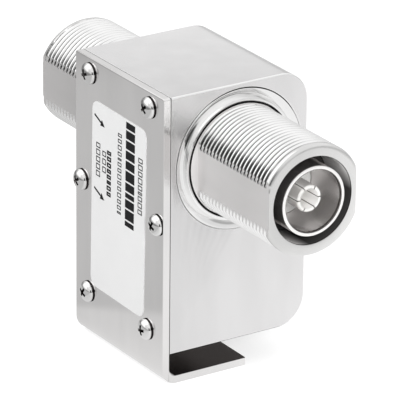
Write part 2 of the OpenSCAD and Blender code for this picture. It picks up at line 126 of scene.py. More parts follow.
def product(nodes, links, first, second):
    """Product of two colours."""
    mix = nodes.new("ShaderNodeMix")
    mix.data_type = "RGBA"
    mix.blend_type = "MULTIPLY"
    mix.inputs["Factor"].default_value = 1.0
    links.new(first, mix.inputs["A"])
    links.new(second, mix.inputs["B"])
    return mix.outputs["Result"]


def scaled(nodes, links, value, low, high):
    """Value between 0 and 1 scaled to run from low to high."""
    node = nodes.new("ShaderNodeMapRange")
    node.inputs["To Min"].default_value = low
    node.inputs["To Max"].default_value = high
    links.new(value, node.inputs["Value"])
    return node.outputs["Result"]


def mix_shaders(nodes, links, factor, first, second):
    """First shader at factor 0, second at factor 1."""
    mix = nodes.new("ShaderNodeMixShader")
    links.new(factor, mix.inputs["Fac"])
    links.new(first, mix.inputs[1])
    links.new(second, mix.inputs[2])
    return mix.outputs["Shader"]


def finish_surface(nodes, links, shader, vector, color, rough, grain, depth, contrast):
    """Varies colour and roughness a little over the surface and adds a fine grain."""
    cloud = noise(nodes, links, vector, grain * CLOUD_SCALE)
    dark = tuple(c * (1 - contrast) for c in color)
    light = tuple(min(1.0, c * (1 + contrast)) for c in color)
    links.new(ramp(nodes, links, cloud, [(0.3, dark), (0.7, light)]), shader.inputs["Base Color"])
    fine = noise(nodes, links, vector, grain)
    roughness = scaled(nodes, links, fine, rough * (1 - ROUGH_SPREAD), rough * (1 + ROUGH_SPREAD))
    links.new(roughness, shader.inputs["Roughness"])
    bump = nodes.new("ShaderNodeBump")
    bump.inputs["Strength"].default_value = GRAIN_STRENGTH
    bump.inputs["Distance"].default_value = depth
    links.new(fine, bump.inputs["Height"])
    links.new(bump.outputs["Normal"], shader.inputs["Normal"])


def metal(name, color, rough, depth=2e-6, stretch=(1, 1, 1), edge=1.0, share=1.0):
    """Metal with edge for its reflectance at a grazing angle and share for how metallic it is."""
    material, nodes, links, shader = fresh_material(name)
    shader.inputs["Metallic"].default_value = share
    shader.inputs["Specular Tint"].default_value = (edge, edge, edge, 1)
    vector = object_coords(nodes, links, stretch)
    finish_surface(nodes, links, shader, vector, color, rough, grain=900.0, depth=depth, contrast=0.03)
    return material


def solid(name, color, rough, contrast=0.06, specular=0.5):
    """Rubber, plastic, ceramic or ink."""
    material, nodes, links, shader = fresh_material(name)
    shader.inputs["Specular IOR Level"].default_value = specular
    vector = object_coords(nodes, links, (1, 1, 1))
    finish_surface(nodes, links, shader, vector, color, rough, grain=700.0, depth=4e-6, contrast=contrast)
    return material


def blend_look(material, factor, color, edge):
    """Blends a metal's colour and grazing reflectance from a darker look of painted shade, at factor 0, to
    its own.
    """
    nodes, links = material.node_tree.nodes, material.node_tree.links
    shader = nodes["Principled BSDF"]
    plated = shader.inputs["Base Color"].links[0].from_socket
    for socket, low in (("Base Color", color), ("Specular Tint", (edge, edge, edge))):
        mix = nodes.new("ShaderNodeMix")
        mix.data_type = "RGBA"
        links.new(factor, mix.inputs["Factor"])
        mix.inputs["A"].default_value = (*low, 1)
        mix.inputs["B"].default_value = (1, 1, 1, 1)
        if socket == "Base Color":
            links.new(plated, mix.inputs["B"])
        links.new(mix.outputs["Result"], shader.inputs[socket])


# Looks of painted shade as a colour and a grazing reflectance
# Painted shade on what faces down: the housing's underside and its bottom edges
UNDERSIDE_SHADE = ((0.1, 0.094, 0.092), 0.3)
# Painted shade in the thread's grooves
GROOVE = ((0.012, 0.012, 0.012), 0.05)


def darken_underside(material, limit):
    """Paints shade on what faces down, with the height of its normal under the limit."""
    nodes, links = material.node_tree.nodes, material.node_tree.links
    geometry = nodes.new("ShaderNodeNewGeometry")
    split = nodes.new("ShaderNodeSeparateXYZ")
    links.new(geometry.outputs["Normal"], split.inputs["Vector"])
    plated = nodes.new("ShaderNodeMath")
    plated.operation = "GREATER_THAN"
    plated.inputs[1].default_value = limit
    links.new(split.outputs["Z"], plated.inputs[0])
    blend_look(material, plated.outputs["Value"], *UNDERSIDE_SHADE)


def shade_along(material, heading, low, high, stops):
    """Paints shade and light into a metal's colour along a heading, between two distances from the origin in
    millimetres.
    """
    nodes, links = material.node_tree.nodes, material.node_tree.links
    shader = nodes["Principled BSDF"]
    plated = shader.inputs["Base Color"].links[0].from_socket
    coords = nodes.new("ShaderNodeTexCoord")
    shade = position_ramp(nodes, links, coords, heading, low * MM, high * MM, stops)
    links.new(product(nodes, links, plated, shade), shader.inputs["Base Color"])


# Painted shade in the thread's grooves: tones by radius, and the axis, start and end of their fades, counted
# from the port's axis
GROOVE_LOW = 13.5
GROOVE_HIGH = 14.5
GROOVE_TONES = [(13.74, 1.0), (13.84, 0.0), (14.0, 0.0), (14.12, 1.0)]
GROOVE_FADES = [("Z", 1.0, -3.0), ("X", 2.0, 6.0)]


def port_offset(nodes, links):
    """Place relative to the ports' axis, and the distance from that axis."""
    coords = nodes.new("ShaderNodeTexCoord")
    centred = nodes.new("ShaderNodeVectorMath")
    centred.operation = "SUBTRACT"
    centred.inputs[1].default_value = (AXIS_X * MM, 0, AXIS_Z * MM)
    links.new(coords.outputs["Object"], centred.inputs[0])
    flat = nodes.new("ShaderNodeVectorMath")
    flat.operation = "MULTIPLY"
    flat.inputs[1].default_value = (1, 0, 1)
    links.new(centred.outputs["Vector"], flat.inputs[0])
    radius = nodes.new("ShaderNodeVectorMath")
    radius.operation = "LENGTH"
    links.new(flat.outputs["Vector"], radius.inputs[0])
    return centred.outputs["Vector"], radius.outputs["Value"]


def fade(nodes, links, value, low, high):
    """Runs from 0 at low to 1 at high, both in millimetres."""
    reach = nodes.new("ShaderNodeMapRange")
    reach.inputs["From Min"].default_value = low * MM
    reach.inputs["From Max"].default_value = high * MM
    links.new(value, reach.inputs["Value"])
    return reach.outputs["Result"]


def darken_grooves(material):
    """Paints shade into a thread's grooves by the distance from the port's axis, but not below the axis or
    on its far side.
    """
    nodes, links = material.node_tree.nodes, material.node_tree.links
    offset, radius = port_offset(nodes, links)
    depth = fade(nodes, links, radius, GROOVE_LOW, GROOVE_HIGH)
    span = GROOVE_HIGH - GROOVE_LOW
    lit = ramp(nodes, links, depth, [((r - GROOVE_LOW) / span, tone) for r, tone in GROOVE_TONES])
    split = nodes.new("ShaderNodeSeparateXYZ")
    links.new(offset, split.inputs["Vector"])
    for axis, low, high in GROOVE_FADES:
        most = nodes.new("ShaderNodeMath")
        most.operation = "MAXIMUM"
        links.new(lit, most.inputs[0])
        links.new(fade(nodes, links, split.outputs[axis], low, high), most.inputs[1])
        lit = most.outputs["Value"]
    blend_look(material, lit, *GROOVE)


LOOKS = {
    "housing_metal": metal("satin_housing", (0.95, 0.942, 0.944), 0.26, depth=5e-7, stretch=(1, 1, 0.3)),
    "cover_metal": metal("plated_cover", (0.85, 0.838, 0.834), 0.12, stretch=(1, 1, 0.3)),
    "gasket_rubber": solid("gasket_rubber", (0.06, 0.06, 0.06), 0.7),
    "screw_metal": metal("bright_screw", (0.84, 0.835, 0.83), 0.05, depth=5e-7),
    "label_film": solid("label_film", (0.69, 0.69, 0.69), 0.35, contrast=0.01),
    "port_plating": metal("white_plating", (0.93, 0.928, 0.925), 0.1),
    "seal_rubber": solid("seal_rubber", (0.006, 0.006, 0.006), 0.6, specular=0.1),
    "insulator_plastic": solid("insulator_plastic", (0.93, 0.925, 0.91), 0.5),
    "contact_plating": metal("silver_contact", (0.88, 0.87, 0.845), 0.25, share=0.4),
    "inner_brass": metal("turned_brass", (0.80, 0.62, 0.32), 0.25),
    "ceramic": solid("fired_ceramic", (0.85, 0.83, 0.79), 0.3),
    "electrode_metal": metal("bright_electrode", (0.74, 0.73, 0.72), 0.2),
    "copper_wire": metal("enamelled_copper", (0.72, 0.38, 0.2), 0.25),
}
INK = solid("label_ink", (0.012, 0.012, 0.013), 0.6, specular=0.1)
PORT_SPACE = metal("dull_port_space", (0.97, 0.945, 0.935), 0.12, share=0.1)
# Darker than the plating, as painted shade inside the tube's bore and the contact's bore
PORT_BORE = metal("dull_port_bore_shade", (0.7, 0.675, 0.67), 0.24, share=0.9)
SOCKET_BORE = metal("socket_bore_shade", (0.78, 0.765, 0.745), 0.25, share=0.4)
PORT_FLAT = metal("milled_flat", (0.8, 0.785, 0.78), 0.45, stretch=(1, 0.2, 1), share=0.6)
PORT_THREAD = metal("rolled_thread", (0.95, 0.948, 0.945), 0.14)
TUBE_WALL = metal("dark_tube_wall", (0.8, 0.76, 0.745), 0.2, edge=0.3, share=0.7)
TUBE_RIM = metal("bright_tube_rim", (0.93, 0.92, 0.91), 0.25, share=0.7)
# Painted shade: dark in the recesses, slots and rim edges, and a painted shadow gap under the screw heads
RECESS = metal("dark_recess", (0.22, 0.21, 0.205), 0.2, edge=0.5)
SHOULDER = metal("shoulder_shadow_gap", (0.04, 0.038, 0.037), 0.15, edge=0.2)
PORT_LIP = metal("turned_lip", (0.91, 0.906, 0.9), 0.25)
# Painted highlight on the housing's rounded edges, with a painted shadow line along its bottom edges
EDGE_GLINT = metal("edge_glint_and_shadow", (0.98, 0.978, 0.976), 0.3)

# Tones that the photo's studio leaves on the metal: place from 0 to 1 along a heading, and tone
MOUTH_Y = HOUSING_FACE_Y + PORT_L
FLAT_TONES = [(0.0, 0.76), (0.3, 0.72), (0.7, 1.0), (0.8, 0.88), (0.9, 0.83), (1.0, 0.87)]
WALL_TONES = [(0.0, 0.08), (0.425, 0.08), (0.5, 1.0), (0.61, 1.0), (0.7, 0.08)]
SPACE_TONES = [(0.0, 1.0), (0.64, 1.0), (0.84, 0.06)]
SIDE_TONES = [(0.0, 0.82), (1.0, 1.0)]
# Painted shade in the thread's grooves, and painted reflections and shade on the flats, the tube wall, the
# ring space and the lip
darken_grooves(PORT_THREAD)
shade_along(PORT_FLAT, (0, -1, 0), -MOUTH_Y, MOUTH_Y, FLAT_TONES)
shade_along(TUBE_WALL, (-0.8, 0, 0.6), 19.1, 37.3, WALL_TONES)
shade_along(PORT_SPACE, (0.707, 0, -0.707), -46.3, -23.6, SPACE_TONES)
shade_along(PORT_LIP, (1, 0, -0.35), -20, 3, SIDE_TONES)
# Painted shade across the housing along a heading, and painted shade on what faces straight down
shade_along(LOOKS["housing_metal"], (0.55, 0.83, 0), -25, 30, SIDE_TONES)
darken_underside(LOOKS["housing_metal"], -0.9)
# Painted shadow line along the bottom edges
darken_underside(EDGE_GLINT, -0.45)


# Mesh helpers


def add_object(name, mesh, *looks):
    """New object in the scene with its materials in order."""
    piece = bpy.data.objects.new(name, mesh)
    bpy.context.scene.collection.objects.link(piece)
    for look in looks:
        mesh.materials.append(look)
    return piece


def mesh_from(name, bm, sharp_deg=35.0, merge=2e-6):
    """Mesh with close points merged, faces outward and edges above an angle kept sharp."""
    bmesh.ops.remove_doubles(bm, verts=bm.verts, dist=merge)
    bmesh.ops.dissolve_degenerate(bm, dist=1e-7, edges=bm.edges)
    bmesh.ops.recalc_face_normals(bm, faces=bm.faces)
    mesh = bpy.data.meshes.new(name)
    bm.to_mesh(mesh)
    bm.free()
    mesh.polygons.foreach_set("use_smooth", [True] * len(mesh.polygons))
    mesh.set_sharp_from_angle(angle=math.radians(sharp_deg))
    return mesh


def bake(piece):
    """Turns a piece's modifiers into its own mesh."""
    evaluated = piece.evaluated_get(bpy.context.evaluated_depsgraph_get())
    mesh = bpy.data.meshes.new_from_object(evaluated)
    piece.modifiers.clear()
    piece.data = mesh
    return mesh


def grid_bmesh(points, looks=None):
    """Quads over points[row][column]; coinciding points merge later, and looks gives each row's material."""
    rows, cols = points.shape[:2]
    bm = bmesh.new()
    verts = [bm.verts.new(p) for p in points.reshape(-1, 3) * MM]
    for i in range(rows - 1):
        for j in range(cols - 1):
            a = i * cols + j
            face = bm.faces.new((verts[a], verts[a + 1], verts[a + cols + 1], verts[a + cols]))
            face.material_index = looks[i] if looks else 0
    return bm


def ring(r, angles, z):
    """Points round the Z axis; r and z are numbers or one value for each angle."""
    return np.stack([r * np.cos(angles), r * np.sin(angles), np.broadcast_to(z, angles.shape)], axis=1)


def lathe_bmesh(outline, steps, looks=None):
    """Turned shape from an outline of radius and height."""
    angles = np.linspace(0, 2 * math.pi, steps + 1)
    return grid_bmesh(np.stack([ring(r, angles, z) for r, z in outline]), looks)


def stand_for(piece, slot, *nodes):
    """Ties a piece to the root body and hides the CAD nodes that it replaces."""
    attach(piece, "root")
    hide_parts(*nodes)
    return piece


# Ports: one turned body each, with a helical thread and two flats, a bead and a slotted contact

SURGE = 1
EQUIPMENT = -1
PITCH = 1.5
PHASE = 0.38
# Thread's profile: share of the pitch and share of the depth
THREAD = [(0.00, 0.0), (0.05, 0.04), (0.10, 0.14), (0.36, 0.86), (0.42, 0.97), (0.47, 1.0),
          (0.63, 1.0), (0.68, 0.97), (0.74, 0.86), (0.95, 0.10)]
NECK_R = 14.1
COLLAR_R = 14.65
HUB_TOP = 0.6
NECK_END = 1.0
THREAD_END = 30.75
MOUTH_BAND = 1.1
LIP_FULLNESS = 0.95
LIP_R = 11.5
SPARE_TURNS = 2
HUB_SLACK = 0.05
SPIGOT_R = 10.0
SPIGOT_L = 9.8
FLANGE_T = 2.0
SPACE_DEPTH = 11.0
THROUGH_R = 6.5
SOCKET_R = 2.5
SOCKET_SLACK = 0.01
BEAD_DEPTH = 13.0
BEAD_SEAT = 10.7
BEAD_STEP = 16.75
BEAD_R = 7.95
BEAD_HOLE_R = 3.54
BEAD_SHANK_R = 2.85
BEAD_CHAMFER = 0.1
BEAD_STEPS = 96

# Radius and height of the turned outside below the thread
SPIGOT = [(THROUGH_R, -SPIGOT_L), (SPIGOT_R, -SPIGOT_L), (SPIGOT_R, -FLANGE_T)]
FLANGE = [(18.4, -FLANGE_T), (18.44, -0.3), (18.44, -0.12), (18.38, -0.03), (18.25, -0.02)]
DISH = [(16.6, -0.66), (16.45, -0.70), (16.36, -0.66)]
HUB = [(15.95, 0.5), (15.91, 0.57), (15.85, HUB_TOP), (15.33, HUB_TOP), (15.27, 0.57), (15.25, 0.5)]
SEAL_GROOVE = [(15.25, 0.0), (14.7, 0.0), (14.7, 0.5), (14.68, 0.57), (14.62, HUB_TOP)]

# Radius, height and look of the mouth's face, the ring-shaped space, the tube's rim and its bore
MOUTH = [(13.3, PORT_L, "plated"), (SPACE_R + 0.3, PORT_L, "plated"),
         (SPACE_R + 0.1, PORT_L - 0.07, "plated")]
SPACE = [(SPACE_R, PORT_L - 0.3, "space"), (SPACE_R, PORT_L - SPACE_DEPTH + 0.2, "wall"),
         (SPACE_R - 0.15, PORT_L - SPACE_DEPTH, "wall"), (TUBE_R + 0.2, PORT_L - SPACE_DEPTH, "wall"),
         (TUBE_R, PORT_L - SPACE_DEPTH + 0.2, "wall")]
# The rim's chamfers take the dark recess look: painted shade along the rim's edges
TUBE = [(TUBE_R, RIM - 0.28, "edge"), (TUBE_R - 0.08, RIM - 0.08, "rim"), (TUBE_R - 0.25, RIM, "rim"),
        (TUBE_BORE_R + 0.25, RIM, "edge"), (TUBE_BORE_R + 0.06, RIM - 0.08, "edge"),
        (TUBE_BORE_R, RIM - 0.28, "edge")]
BORE = [(TUBE_BORE_R, RIM - 0.75, "bore"), (TUBE_BORE_R, BEAD_SEAT, "bore"), (THROUGH_R, BEAD_SEAT, "bore"),
        (THROUGH_R, -SPIGOT_L, "plated")]

PORT_LOOKS = {"plated": LOOKS["port_plating"], "space": PORT_SPACE, "bore": PORT_BORE, "flat": PORT_FLAT,
              "thread": PORT_THREAD, "wall": TUBE_WALL, "lip": PORT_LIP, "rim": TUBE_RIM, "edge": RECESS}
PORT_INDEX = {name: k for k, name in enumerate(PORT_LOOKS)}
SOCKET_LOOKS = (LOOKS["contact_plating"], RECESS, SOCKET_BORE)
SLOT_INDEX = 1
SOCKET_BORE_INDEX = 2
# Largest cosines of a slot wall's normal with the port's axis and with the way outward
WALL_ALONG = 0.1
WALL_OUTWARD = 0.3

# Stretches of a quarter turn in degrees and their steps, close where the thread runs out on a flat
QUARTER = [(0, 16, 4), (16, 30, 28), (30, 90, 24)]


def port_angles():
    """Angles once round the barrel."""
    quarter = np.concatenate([np.linspace(a, b, n, endpoint=False) for a, b, n in QUARTER])
    half = np.concatenate([quarter, [90.0], (180 - quarter[1:])[::-1]])
    return np.radians(np.concatenate([half, 180 + half, [360.0]]))


def soft_lip(z):
    """Radius of the rounded lip at the barrel's mouth, from its outside to its face."""
    t = np.clip((PORT_L - z) / MOUTH_BAND, 0, 1)
    return CREST_R - MOUTH_BAND * LIP_FULLNESS * (1 - np.sqrt(np.clip(1 - (1 - t) ** 2, 0, 1)))


def thread_rows(angles):
    """Radius and height of each helical row, run out into the neck and the mouth."""
    turns = int(math.ceil((PORT_L - HUB_TOP) / PITCH))
    rows = []
    for turn in range(-SPARE_TURNS, turns + SPARE_TURNS):
        for u, lift in THREAD:
            climb = PITCH * (turn + u + PHASE + angles / (2 * math.pi))
            z = np.clip(HUB_TOP + climb, HUB_TOP, PORT_L)
            r = np.full_like(z, ROOT_R + (CREST_R - ROOT_R) * lift)
            r = np.where(z < NECK_END, NECK_R, r)
            r = np.where(z > THREAD_END, CREST_R, r)
            rows.append((np.minimum(r, soft_lip(z)), z))
    return rows


def port_points():
    """Points of a port's body by rows, and the look of each row."""
    angles = port_angles()
    below = SPIGOT + FLANGE + DISH + HUB + SEAL_GROOVE
    barrel = thread_rows(angles)
    inner = MOUTH + SPACE + TUBE + BORE
    rows = below + barrel + [(r, z) for r, z, _ in inner]
    names = ["plated"] * (len(below) + len(barrel)) + [name for _, _, name in inner]
    flats = FLAT / np.maximum(np.abs(np.cos(angles)), 1e-6)
    points = []
    for k, (r, z) in enumerate(rows):
        on_barrel = len(below) <= k <= len(below) + len(barrel)
        points.append(ring(np.minimum(r, flats) if on_barrel else r, angles, z))
    return np.stack(points), [PORT_INDEX[name] for name in names]


def dress_barrel(bm):
    """Sets the looks of the flats, the thread, the lip and the neck."""
    for face in bm.faces:
        middle = face.calc_center_median() / MM
        radius = middle.xy.length
        if all(abs(abs(v.co.x) - FLAT * MM) < 1e-7 for v in face.verts):
            face.material_index = PORT_INDEX["flat"]
        elif NECK_END < middle.z < THREAD_END and radius > FLAT:
            face.material_index = PORT_INDEX["thread"]
        elif middle.z > THREAD_END and radius > LIP_R:
            face.material_index = PORT_INDEX["lip"]
        elif HUB_TOP - HUB_SLACK < middle.z < NECK_END and FLAT < radius < COLLAR_R:
            face.material_index = PORT_INDEX["flat"]


def port_matrix(side):
    """Turns a port's own frame towards one end of the housing."""
    place = Matrix.Translation(Vector((AXIS_X, side * HOUSING_FACE_Y, AXIS_Z)) * MM)
    return place @ Matrix.Rotation(math.radians(-90 * side), 4, "X")


def port_body(end, side):
    """Turned body of one port."""
    name = end + "_threaded_port"
    bm = grid_bmesh(*port_points())
    dress_barrel(bm)
    bmesh.ops.transform(bm, matrix=port_matrix(side), verts=bm.verts)
    return add_object(name, mesh_from(name, bm, sharp_deg=32), *PORT_LOOKS.values())


def bead(end, side):
    """Insulating bead, deep round the contact's shank and with its face closer to the mouth."""
    name = end + "_bead"
    face = RIM - BEAD_DEPTH
    low = face - BEAD_CHAMFER
    outline = [(BEAD_SHANK_R, BEAD_SEAT), (BEAD_R, BEAD_SEAT), (BEAD_R, low), (BEAD_R - BEAD_CHAMFER, face),
               (BEAD_HOLE_R + BEAD_CHAMFER, face), (BEAD_HOLE_R, low), (BEAD_HOLE_R, BEAD_STEP),
               (BEAD_SHANK_R, BEAD_STEP), (BEAD_SHANK_R, BEAD_SEAT)]
    bm = lathe_bmesh(outline, BEAD_STEPS)
    bmesh.ops.transform(bm, matrix=port_matrix(side), verts=bm.verts)
    return add_object(name, mesh_from(name, bm), LOOKS["insulator_plastic"])


def slotted_contact(end):
    """Copy of a CAD contact with painted shade: dark walls in its slots and a darker bore."""
    name = end + "_socket"
    bm = bmesh.new()
    bm.from_mesh(frame["nodes"][end + "_contact"].data)
    for face in bm.faces:
        middle = face.calc_center_median() / MM
        outward = Vector((middle.x - AXIS_X, 0, middle.z - AXIS_Z))
        facing = abs(face.normal.dot(outward.normalized()))
        if abs(face.normal.y) < WALL_ALONG and facing < WALL_OUTWARD:
            face.material_index = SLOT_INDEX
        elif outward.length < SOCKET_R + SOCKET_SLACK:
            face.material_index = SOCKET_BORE_INDEX
    return add_object(name, mesh_from(name, bm, merge=1e-7), *SOCKET_LOOKS)


for end, side in (("surge", SURGE), ("equipment", EQUIPMENT)):
    stand_for(slotted_contact(end), "contact_plating", end + "_contact")
    stand_for(bead(end, side), "insulator_plastic", end + "_insulator")
    stand_for(port_body(end, side), "port_plating", end + "_connector_body")


# Housing and cover with softened edges

HOUSING_EDGE = 0.4
COVER_EDGE = 0.12
SEAM_EDGE = 0.08
SEAM_LOW_X = COVER_X + 1.5
SEAM_HIGH_X = JOINT_X + 0.2
OUTER_REACH = 1.0
SHARP = math.radians(40)
LEVEL = math.radians(0.5)
GLINT_INDEX = 1


def box_depth(vert, corners):
    """Distance in metres of a vertex from the nearest side of a box, given by its two corners."""
    return min(abs(vert.co[k] - corner[k]) for corner in corners for k in range(3))


def weigh_edges(bm, width):
    """Marks sharp edges near the outer box for rounding, with less by the joint of housing and cover."""
    corners = [[side(v.co[k] for v in bm.verts) for k in range(3)] for side in (min, max)]
    weights = bm.edges.layers.float.new("bevel_weight_edge")
    for edge in bm.edges:
        outer = all(box_depth(v, corners) < OUTER_REACH * MM for v in edge.verts)
        if outer and edge.is_manifold and edge.calc_face_angle() > SHARP:
            by_seam = all(SEAM_LOW_X < v.co.x / MM < SEAM_HIGH_X for v in edge.verts)
            edge[weights] = SEAM_EDGE / width if by_seam else 1.0


def softened_copy(node, name, look, glint, width):
    """Copy of a CAD node with its sharp outer edges rounded and in a look of their own, the glint look,
    which on the housing paints a highlight.
    """
    bm = bmesh.new()
    bm.from_mesh(frame["nodes"][node].data)
    bmesh.ops.remove_doubles(bm, verts=bm.verts, dist=1e-6)
    bmesh.ops.dissolve_limit(bm, angle_limit=LEVEL, verts=bm.verts, edges=bm.edges)
    weigh_edges(bm, width)
    piece = add_object(name, mesh_from(name, bm, merge=1e-6), look, glint)
    bevel = piece.modifiers.new("soft_edges", "BEVEL")
    bevel.material = GLINT_INDEX
    bevel.width = width * MM
    bevel.segments = 3
    bevel.limit_method = "WEIGHT"
    bevel.loop_slide = False
    bevel.use_clamp_overlap = False
    bevel.harden_normals = True
    bake(piece)
    return piece


# The housing's rounded edges get a painted highlight
housing = softened_copy("housing", "housing_block", LOOKS["housing_metal"], EDGE_GLINT, HOUSING_EDGE)
stand_for(housing, "housing_metal", "housing")
cover_look = LOOKS["cover_metal"]
cover = softened_copy("mounting_cover", "folded_cover", cover_look, cover_look, COVER_EDGE)
stand_for(cover, "cover_metal", "mounting_cover")


# Cover screws: pan heads with a tapered cross recess

# The recess and the head's low side carry painted shade, the low side as a shadow gap under the head
SCREW_LOOKS = (LOOKS["screw_metal"], RECESS, SHOULDER)
HEAD_INDEX = 0
RECESS_INDEX = 1
SHOULDER_INDEX = 2
HEAD_R = 2.8
HEAD_H = 1.87
SIDE_H = 0.36
BAND_H = 0.06
SHANK_R = 1.5
SHANK_L = 7.6
SHANK_CHAMFER = 0.3
SCREW_STEPS = 64
DOME_STEPS = 21
# Half length, half width and height of the recess's wings over the head and at their floor
WING_TOP = (1.55, 0.42, HEAD_H + 0.4)
WING_FLOOR = (0.9, 0.28, HEAD_H - 1.3)
# Place on the cover and turn of the recess in degrees
SCREW_PLACES = [(-14.0, 72.5, 40), (14.0, 72.5, 20), (-17.8, 42.7, 65),
                (17.8, 42.7, 35), (-13.2, 12.9, 10), (14.8, 12.9, 60)]


def wing_cutter(name, turn):
    """Tapered bar that cuts two opposite wings of the cross recess."""
    bm = bmesh.new()
    verts = []
    for half_l, half_w, z in (WING_FLOOR, WING_TOP):
        for x, y in ((-1, -1), (1, -1), (1, 1), (-1, 1)):
            verts.append(bm.verts.new(Vector((x * half_l, y * half_w, z)) * MM))
    for face in ((3, 2, 1, 0), (4, 5, 6, 7), (0, 1, 5, 4), (1, 2, 6, 5), (2, 3, 7, 6), (3, 0, 4, 7)):
        bm.faces.new([verts[i] for i in face]).material_index = RECESS_INDEX
    bmesh.ops.rotate(bm, matrix=Matrix.Rotation(math.radians(turn), 3, "Z"), verts=bm.verts)
    return add_object(name, mesh_from(name, bm), *SCREW_LOOKS)


def screw_outline():
    """Shank, and the low side and rounded dome of a pan head, from the shank's end to the head's top."""
    shank = [(0.0, -SHANK_L), (SHANK_R - SHANK_CHAMFER, -SHANK_L), (SHANK_R, SHANK_CHAMFER - SHANK_L),
             (SHANK_R, 0.0)]
    turns = np.linspace(0, math.pi / 2, DOME_STEPS, endpoint=False)
    dome = [(HEAD_R * math.cos(a), SIDE_H + (HEAD_H - SIDE_H) * math.sin(a)) for a in turns]
    return [*shank, (HEAD_R - BAND_H, 0.0), (HEAD_R, BAND_H), *dome, (0.0, HEAD_H)]


def screw_mesh():
    """One screw with its recess cut."""
    outline = screw_outline()
    # The low side under the dome takes the dark shoulder look: a painted shadow gap
    looks = [SHOULDER_INDEX if r > SHANK_R and z < SIDE_H else HEAD_INDEX for r, z in outline]
    turned = mesh_from("screw_master", lathe_bmesh(outline, SCREW_STEPS, looks))
    screw = add_object("screw_master", turned, *SCREW_LOOKS)
    cutters = [wing_cutter("wing_a", 0), wing_cutter("wing_b", 90)]
    for cutter in cutters:
        cut = screw.modifiers.new("recess", "BOOLEAN")
        cut.object = cutter
        cut.solver = "EXACT"
    mesh = bake(screw)
    for spare in (screw, *cutters):
        bpy.data.objects.remove(spare)
    return mesh


def join_recess_faces(bm):
    """Joins the recess's coplanar faces, so that none is cut into slivers."""
    recess = [face for face in bm.faces if face.material_index == RECESS_INDEX]
    # Each edge and vertex once, in an order that is the same each run
    edges = list(dict.fromkeys(edge for face in recess for edge in face.edges))
    verts = list(dict.fromkeys(vert for face in recess for vert in face.verts))
    flat = math.radians(0.2)
    bmesh.ops.dissolve_limit(bm, angle_limit=flat, verts=verts, edges=edges, delimit={"MATERIAL"})


def build_screws():
    """All cover screws as one piece."""
    master = screw_mesh()
    bm = bmesh.new()
    for y, z, turn in SCREW_PLACES:
        before = len(bm.verts)
        bm.from_mesh(master)
        bm.verts.ensure_lookup_table()
        place = Matrix.Translation(Vector((COVER_X, y, z)) * MM) @ Matrix.Rotation(math.radians(-90), 4, "Y")
        turned = place @ Matrix.Rotation(math.radians(turn), 4, "Z")
        bmesh.ops.transform(bm, matrix=turned, verts=bm.verts[before:])
    join_recess_faces(bm)
    mesh = mesh_from("cross_recess_screws", bm, sharp_deg=30)
    return add_object("cross_recess_screws", mesh, *SCREW_LOOKS)


stand_for(build_screws(), "screw_metal", "cover_screws")


# Generic marks on the label: plain arrows and blocks, u to the right and v up from the label's middle

LABEL_Y = 0.3
LABEL_Z = 40.7
LABEL_FACE_X = COVER_X - 0.15
INK_GAP = 0.002
INK_T = 0.02
LEAN = math.radians(1.2)
# Outline of an arrow that points along its first axis, its turn, and the places of the two arrows
ARROW = [(-2.65, -0.28), (-2.65, 0.28), (0.75, 0.28), (0.75, 0.95),
         (2.65, 0.0), (0.75, -0.95), (0.75, -0.28)]
ARROW_TURN = math.radians(-24)
ARROW_PLACES = [(-8.7, 20.8), (-8.9, 1.0)]
# Rows of blocks: u, lower and upper v, height, gap, stroke (0 for full blocks) and relative widths
LABEL_ROWS = [
    (-9.5, 5.6, 14.7, 1.9, 0.4, 0.3, [1, 1, 1, 1, 0.9]),
    (-6.6, 7.5, 13.3, 1.7, 0.6, 0.28, [1, 1, 0.9]),
    (-4.4, 1.8, 14.1, 2.0, 0.4, 0.5, [1, 1.1, 0.9, 1, 1, 1.1, 1.1, 1]),
    (0.5, -1.2, 20.5, 1.8, 0.55, 0.28, [0.6, 1, 1, 1.2, 1, 0.9, 1.2, 1, 1, 0.6, 1, 1.2, 1, 0.9]),
    (5.4, -3.3, 24.7, 4.2, 0.45, 0, [0.6, 1.2, 1, 0.6, 1, 1.2, 1, 1, 1, 1, 0.8]),
    (10.3, 2.0, 17.1, 2.0, 0.4, 0.3, [1, 1.1, 1, 0.6, 1, 1.2, 1, 1.1, 1]),
]


def ink_layers(bm, corners):
    """Vertices of an outline on the label's face and on top of the ink."""
    heights = (LABEL_FACE_X - INK_GAP, LABEL_FACE_X - INK_T)
    return [[bm.verts.new(Vector((x, LABEL_Y - u, LABEL_Z + v)) * MM) for u, v in corners] for x in heights]


def ink_walls(bm, first, second):
    """Faces between two outlines with the same number of corners."""
    for k in range(len(first)):
        n = (k + 1) % len(first)
        bm.faces.new((first[k], first[n], second[n], second[k]))


def ink_shape(bm, corners):
    """Thin plate of ink on the label, with its corners in order."""
    low, top = ink_layers(bm, corners)
    bm.faces.new(low[::-1])
    bm.faces.new(top)
    ink_walls(bm, low, top)


def ink_frame(bm, outer, inner):
    """Thin frame of ink on the label, between two outlines."""
    low, top = ink_layers(bm, outer)
    low_in, top_in = ink_layers(bm, inner)
    ink_walls(bm, low, top)
    ink_walls(bm, top, top_in)
    ink_walls(bm, top_in, low_in)
    ink_walls(bm, low_in, low)


def turned_point(u, v, along, across, turn):
    """Point at a distance along and across a direction that starts at u, v and turns from the u axis."""
    cos, sin = math.cos(turn), math.sin(turn)
    return (u + along * cos - across * sin, v + along * sin + across * cos)


def block_corners(u, v, start, stop, half):
    """Corners of a block between two distances along a row that runs up the label, a little askew."""
    corners = ((start, half), (start, -half), (stop, -half), (stop, half))
    return [turned_point(u, v, along, across, math.pi / 2 - LEAN) for along, across in corners]


